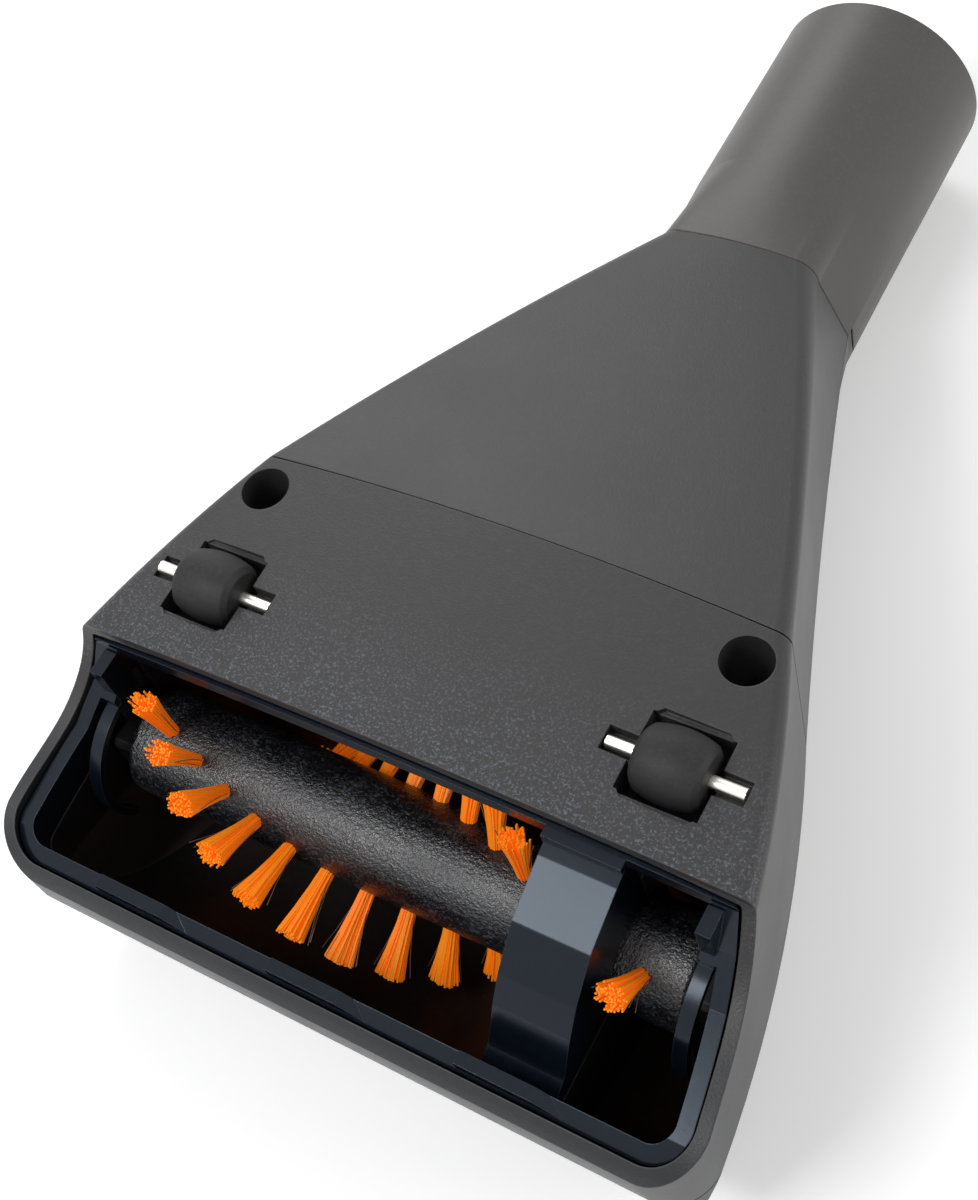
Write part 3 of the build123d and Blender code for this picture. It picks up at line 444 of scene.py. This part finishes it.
# %% Metal finishes
pin_steel = metal("pin_steel", (0.95, 0.93, 0.85), 0.30, (0.1, 1.0, 1.0))
screw_steel = metal("screw_steel", (0.32, 0.32, 0.34), 0.40, (1.0, 1.0, 0.3))
bush_bronze = metal("bush_bronze", (0.62, 0.42, 0.22), 0.45, (1.0, 1.0, 1.0))
for name in ("wheel_axle_left", "wheel_axle_right", "brush_shaft", "turbine_shaft"):
    wear(name, pin_steel)
for name in ("sole_screw_left", "sole_screw_right"):
    wear(name, screw_steel)
for name in ("brush_bush_left", "brush_bush_right", "turbine_bush_left", "turbine_bush_right"):
    wear(name, bush_bronze)
print("metal finishes:", pin_steel.name, screw_steel.name, bush_bronze.name)

# %% [markdown]
# ## Bristles
# Each tuft is a bundle of nylon filaments, folded and pressed into a hole of the roll. They leave the hole
# together and fan out to an oval tip. Nylon lets light through, so a tuft glows a little between its
# filaments: a small emission of the filament's own colour stands for that. One filament is a thin square bar:
# it starts as a flat square that is extruded three times, so that it can bend, and has only a few faces.

# %% Bristle finish
def bristle_finish(name, root_colour, tip_colour, pale_colour, glow):
    """Nylon that goes from the root's colour to the tip's, with a tone of its own in each filament."""
    mat = bpy.data.materials.new(name)
    mat.use_nodes = True
    tree = mat.node_tree
    shader = tree.nodes["Principled BSDF"]
    shader.inputs["Roughness"].default_value = 0.45
    shader.inputs["Specular IOR Level"].default_value = 0.2
    shader.inputs["Emission Strength"].default_value = glow
    reach = add_node(tree, "ShaderNodeAttribute", attribute_name="reach")
    tone = add_node(tree, "ShaderNodeAttribute", attribute_name="tone")
    along, _, _, grown = colour_mix(tree, root_colour, tip_colour)
    share = add_node(tree, "ShaderNodeMapRange", From_Min=0.35, From_Max=1.0, To_Max=0.55)
    own, under, _, mixed = colour_mix(tree, None, pale_colour)
    tree.links.new(reach.outputs["Fac"], along)
    tree.links.new(tone.outputs["Fac"], share.inputs["Value"])
    tree.links.new(share.outputs["Result"], own)
    tree.links.new(grown, under)
    tree.links.new(mixed, shader.inputs["Base Color"])
    tree.links.new(mixed, shader.inputs["Emission Color"])
    return mat


orange_glow = 0.16
worn_glow = 0.0
bristle = bristle_finish("bristle_orange", (1.0, 0.22, 0.005), (1.0, 0.29, 0.009), (1.0, 0.38, 0.03),
                         orange_glow)
worn_bristle = bristle_finish("bristle_worn", (0.06, 0.035, 0.02), (0.16, 0.12, 0.09), (0.30, 0.25, 0.20),
                              worn_glow)
print("bristle finishes:", bristle.name, worn_bristle.name)

# %% [markdown]
# ## Reading the tufts' places
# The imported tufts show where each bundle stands. A row is walked through from vertex to vertex, which splits
# it into its tufts. The middle of a tuft gives its place along the roll and its direction from the roll's
# axis. The vertex that is furthest from the axis gives the radius of the tips.


# %% Find each tuft
merge_distance = 0.01 * mm


def tuft_axes(node_name):
    """For every tuft in a packed row, its point on the roll's axis and its direction."""
    bm = bmesh.new()
    bm.from_mesh(nodes[node_name].data)
    bmesh.ops.remove_doubles(bm, verts=bm.verts, dist=merge_distance)
    left = set(bm.verts)
    found = []
    while left:
        stack = [left.pop()]
        part = []
        while stack:
            vert = stack.pop()
            part.append(vert.co.copy())
            for edge in vert.link_edges:
                other = edge.other_vert(vert)
                if other in left:
                    left.remove(other)
                    stack.append(other)
        middle = sum(part, Vector()) / len(part)
        out = Vector((0, middle.y - roll_axis.y, middle.z - roll_axis.z)).normalized()
        found.append((Vector((middle.x, roll_axis.y, roll_axis.z)), out))
    bm.free()
    return sorted(found, key=lambda f: f[0].x)


rows = {name: tuft_axes(name) for name in ("tuft_row_a", "tuft_row_b")}
tuft_points = [v.co - roll_axis for v in nodes["tuft_row_a"].data.vertices]
tip_radius = max(math.hypot(point.y, point.z) for point in tuft_points)
print("tufts per row:", {k: len(v) for k, v in rows.items()}, "tip radius mm", round(tip_radius / mm, 1))


# %% Grow one filament
def filament(bm, layers, root, way, length, lean, thick, tone):
    """One bent filament: a small square, extruded in three steps towards the tip."""
    reach_layer, tone_layer = layers
    side = way.orthogonal().normalized()
    turn = way.cross(side)
    stand = Matrix.Translation(root) @ Matrix((side, turn, way)).transposed().to_4x4()
    ring = bmesh.ops.create_circle(bm, cap_ends=True, radius=thick, segments=4, matrix=stand)
    verts = ring["verts"]
    for v in verts:
        v[reach_layer] = 0.0
        v[tone_layer] = tone
    face = verts[0].link_faces[0]
    for step in (1, 2, 3):
        face = bmesh.ops.extrude_discrete_faces(bm, faces=[face])["faces"][0]
        share = step / 3
        shift = way * length / 3 + lean * (share ** 2 - ((step - 1) / 3) ** 2)
        bmesh.ops.translate(bm, verts=list(face.verts), vec=shift)
        for v in face.verts:
            v[reach_layer] = share
            v[tone_layer] = tone


# %% [markdown]
# ## One bundle, then many
# A bundle is grown with the roll's axis at its origin, pointing to +Z: a dense fan of orange filaments with
# a square-cut end, and a few dark worn ones that splay out beside it. Four different bundles are enough: each
# tuft gets one of them at random, and a half turn at random too, so neighbours seldom look the same.
# In the names below, wide is along the roll and deep is across it.


# %% Grow four bundles
orange_count = 96
orange_thick = 0.19 * mm
worn_count = 3
worn_thick = 0.07 * mm
root_depth = 0.8 * mm
root_wide, root_deep = 1.15 * mm, 1.05 * mm
fan_wide, fan_deep = 0.95 * mm, 0.75 * mm
tilt_wide, tilt_deep = 0.035, 0.02
stray = 0.2 * mm
uneven_cut = 0.5 * mm
rounded_end = 0.3 * mm
worn_root_near, worn_root_far, worn_root_deep = 0.6 * mm, 1.1 * mm, 0.6 * mm
worn_splay_least, worn_splay_most = 0.6 * mm, 2.0 * mm
worn_stray = 1.0 * mm
worn_shortest, worn_longest = 0.88, 0.97
worn_tilt = 0.10


def bundle(seed):
    """A bundle as a mesh, with its roots just under the core's surface."""
    rng = random.Random(seed)
    bm = bmesh.new()
    layers = (bm.verts.layers.float.new("reach"), bm.verts.layers.float.new("tone"))
    start = core_radius - root_depth
    full = tip_radius - start
    for i in range(orange_count):
        radius = math.sqrt(rng.random())
        turn = rng.random() * 2 * math.pi
        u = radius * math.cos(turn)
        v = radius * math.sin(turn)
        root = Vector((u * root_wide, v * root_deep, start))
        length = full - rng.random() * uneven_cut - rounded_end * radius
        lean = Vector((u * fan_wide + rng.uniform(-stray, stray),
                       v * fan_deep + rng.uniform(-stray, stray), 0))
        way = Vector((u * tilt_wide, v * tilt_deep, 1)).normalized()
        filament(bm, layers, root, way, length, lean, orange_thick, rng.random())
    orange = len(bm.faces)
    for i in range(worn_count):
        side = rng.choice((-1, 1))
        out = side * rng.uniform(worn_root_near, worn_root_far)
        root = Vector((out, rng.uniform(-worn_root_deep, worn_root_deep), start))
        splay = side * rng.uniform(worn_splay_least, worn_splay_most)
        lean = Vector((splay, rng.uniform(-worn_stray, worn_stray), 0))
        length = full * rng.uniform(worn_shortest, worn_longest)
        way = Vector((side * worn_tilt, 0, 1)).normalized()
        filament(bm, layers, root, way, length, lean, worn_thick, rng.random())
    bm.faces.ensure_lookup_table()
    for face in bm.faces[orange:]:
        face.material_index = 1
    mesh = bpy.data.meshes.new("bundle")
    bm.to_mesh(mesh)
    bm.free()
    return mesh


bundles = [bundle(seed) for seed in (3, 8, 14, 21)]
print("faces in a bundle:", len(bundles[0].polygons))


# %% Plant the bundles
def plant_row(node_name, seed):
    """All bundles of one row, as one mesh."""
    rng = random.Random(seed)
    bm = bmesh.new()
    for foot, out in rows[node_name]:
        along = Vector((rng.choice((-1, 1)), 0, 0))
        across = out.cross(along)
        stand = Matrix.Translation(foot) @ Matrix((along, across, out)).transposed().to_4x4()
        one = rng.choice(bundles).copy()
        one.transform(stand)
        bm.from_mesh(one)
        bpy.data.meshes.remove(one)
    mesh = bpy.data.meshes.new("bristles_" + node_name[-1])
    bm.to_mesh(mesh)
    bm.free()
    return mesh


for node_name, seed in (("tuft_row_a", 3), ("tuft_row_b", 8)):
    mesh = plant_row(node_name, seed)
    mesh.materials.append(bristle)
    mesh.materials.append(worn_bristle)
    row = bpy.data.objects.new(mesh.name, mesh)
    bpy.context.scene.collection.objects.link(row)
    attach(row, "roll")
    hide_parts(node_name)
    print(mesh.name, "faces", len(mesh.polygons))
for one in bundles:
    bpy.data.meshes.remove(one)

# %% [markdown]
# ## What is only seen
# The background should look white without lighting the object more. The Light Path node tells rays that are
# seen, by the camera, in a gloss or through glass, from the rays that carry light. The floor and the surround
# both use it.


# %% A value for seen rays only
def seen_level(tree, lighting, seen, socket):
    """Gives a socket one value for rays that carry light and another for rays that are seen."""
    rays = add_node(tree, "ShaderNodeLightPath")
    first = add_node(tree, "ShaderNodeMath", operation="MAXIMUM")
    both = add_node(tree, "ShaderNodeMath", operation="MAXIMUM")
    level = add_node(tree, "ShaderNodeMapRange", To_Min=lighting, To_Max=seen)
    tree.links.new(rays.outputs["Is Camera Ray"], first.inputs[0])
    tree.links.new(rays.outputs["Is Glossy Ray"], first.inputs[1])
    tree.links.new(first.outputs["Value"], both.inputs[0])
    tree.links.new(rays.outputs["Is Transmission Ray"], both.inputs[1])
    tree.links.new(both.outputs["Value"], level.inputs["Value"])
    tree.links.new(level.outputs["Result"], socket)
    return level


# %% [markdown]
# ## Floor
# A plain pale floor carries the shadow. A little emission for seen rays lifts it to white and leaves the
# shadow soft. The lamps don't reach far, so the lift grows with the distance from the brush head.

# %% Floor
bm = bmesh.new()
floor_half = 3.0
bmesh.ops.create_grid(bm, x_segments=1, y_segments=1, size=floor_half)
floor_mesh = bpy.data.meshes.new("floor")
bm.to_mesh(floor_mesh)
bm.free()
floor = bpy.data.objects.new("floor", floor_mesh)
bpy.context.scene.collection.objects.link(floor)
pale = bpy.data.materials.new("pale_floor")
pale.use_nodes = True
pale_shader = pale.node_tree.nodes["Principled BSDF"]
pale_shader.inputs["Base Color"].default_value = (0.97, 0.97, 0.97, 1)
pale_shader.inputs["Roughness"].default_value = 0.9
pale_shader.inputs["Specular IOR Level"].default_value = 0.0
pale_shader.inputs["Emission Color"].default_value = (1, 1, 1, 1)
near_lift = 0.32
far_most_lift = 0.80
lift = seen_level(pale.node_tree, 0.0, near_lift, pale_shader.inputs["Emission Strength"])
floor_place = add_node(pale.node_tree, "ShaderNodeTexCoord")
distance = add_node(pale.node_tree, "ShaderNodeVectorMath", operation="LENGTH")
far_lift = add_node(pale.node_tree, "ShaderNodeMapRange", From_Min=0.25, From_Max=1.1, To_Min=near_lift,
                    To_Max=far_most_lift)
pale.node_tree.links.new(floor_place.outputs["Object"], distance.inputs[0])
pale.node_tree.links.new(distance.outputs["Value"], far_lift.inputs["Value"])
pale.node_tree.links.new(far_lift.outputs["Result"], lift.inputs["To Max"])
floor_mesh.materials.append(pale)
print("floor material:", pale.name)

# %% [markdown]
# ## Light
# Soft studio light: an even surround, a soft box to the front left that the belt guard and the roll reflect,
# and a lamp on the right and at the rear left. The surround is white to the camera, and to glossy and
# transmitted rays too, so that polished pieces show the same background. For light it is much weaker.

# %% World and lamps
world = bpy.data.worlds.new("studio")
world.use_nodes = True
bpy.context.scene.world = world
back = world.node_tree.nodes["Background"]
back.inputs["Color"].default_value = (1, 1, 1, 1)
surround_light = 0.34
seen_level(world.node_tree, surround_light, 1.0, back.inputs["Strength"])


def lamp(name, place, aim, size, watts):
    """A soft square lamp, turned to its aim."""
    data = bpy.data.lights.new(name, "AREA")
    data.shape = "SQUARE"
    data.size = size
    data.energy = watts
    obj = bpy.data.objects.new(name, data)
    obj.location = place
    obj.rotation_euler = (Vector(aim) - Vector(place)).to_track_quat("-Z", "Y").to_euler()
    bpy.context.scene.collection.objects.link(obj)
    return obj


lamp("soft_box", (-0.185, -0.370, 0.540), (0.0, -0.05, 0.04), 0.26, 1.9)
lamp("right_side", (0.60, 0.15, 0.30), (0.03, 0, 0.03), 0.35, 1.1)
lamp("rear_left", (-0.35, 0.40, 0.45), (0, 0, 0.03), 0.40, 1.2)
print("lamps:", [one.name for one in bpy.data.lights])

# %% [markdown]
# ## Camera
# The camera stands close to the object, so the wand tube and the mouth differ strongly in scale.
# Its place and roll were solved from the photograph's own corners.

# %% Camera
view = bpy.data.cameras.new("view")
view.sensor_width = 36.0
view.lens = 53.35
view.clip_start = 0.01
camera = bpy.data.objects.new("view", view)
place = Vector((0.11704, -0.15139, 0.28825))
aim = Vector((-0.00700, -0.03778, 0.04))
roll_deg = -22.017
look = (aim - place).to_track_quat("-Z", "Y").to_matrix().to_4x4()
lean = Matrix.Rotation(math.radians(roll_deg), 4, "Z")
camera.matrix_world = Matrix.Translation(place) @ look @ lean
bpy.context.scene.collection.objects.link(camera)
bpy.context.scene.camera = camera
bpy.context.scene.view_settings.view_transform = "Standard"
print("camera at", [round(v, 3) for v in camera.matrix_world.translation])
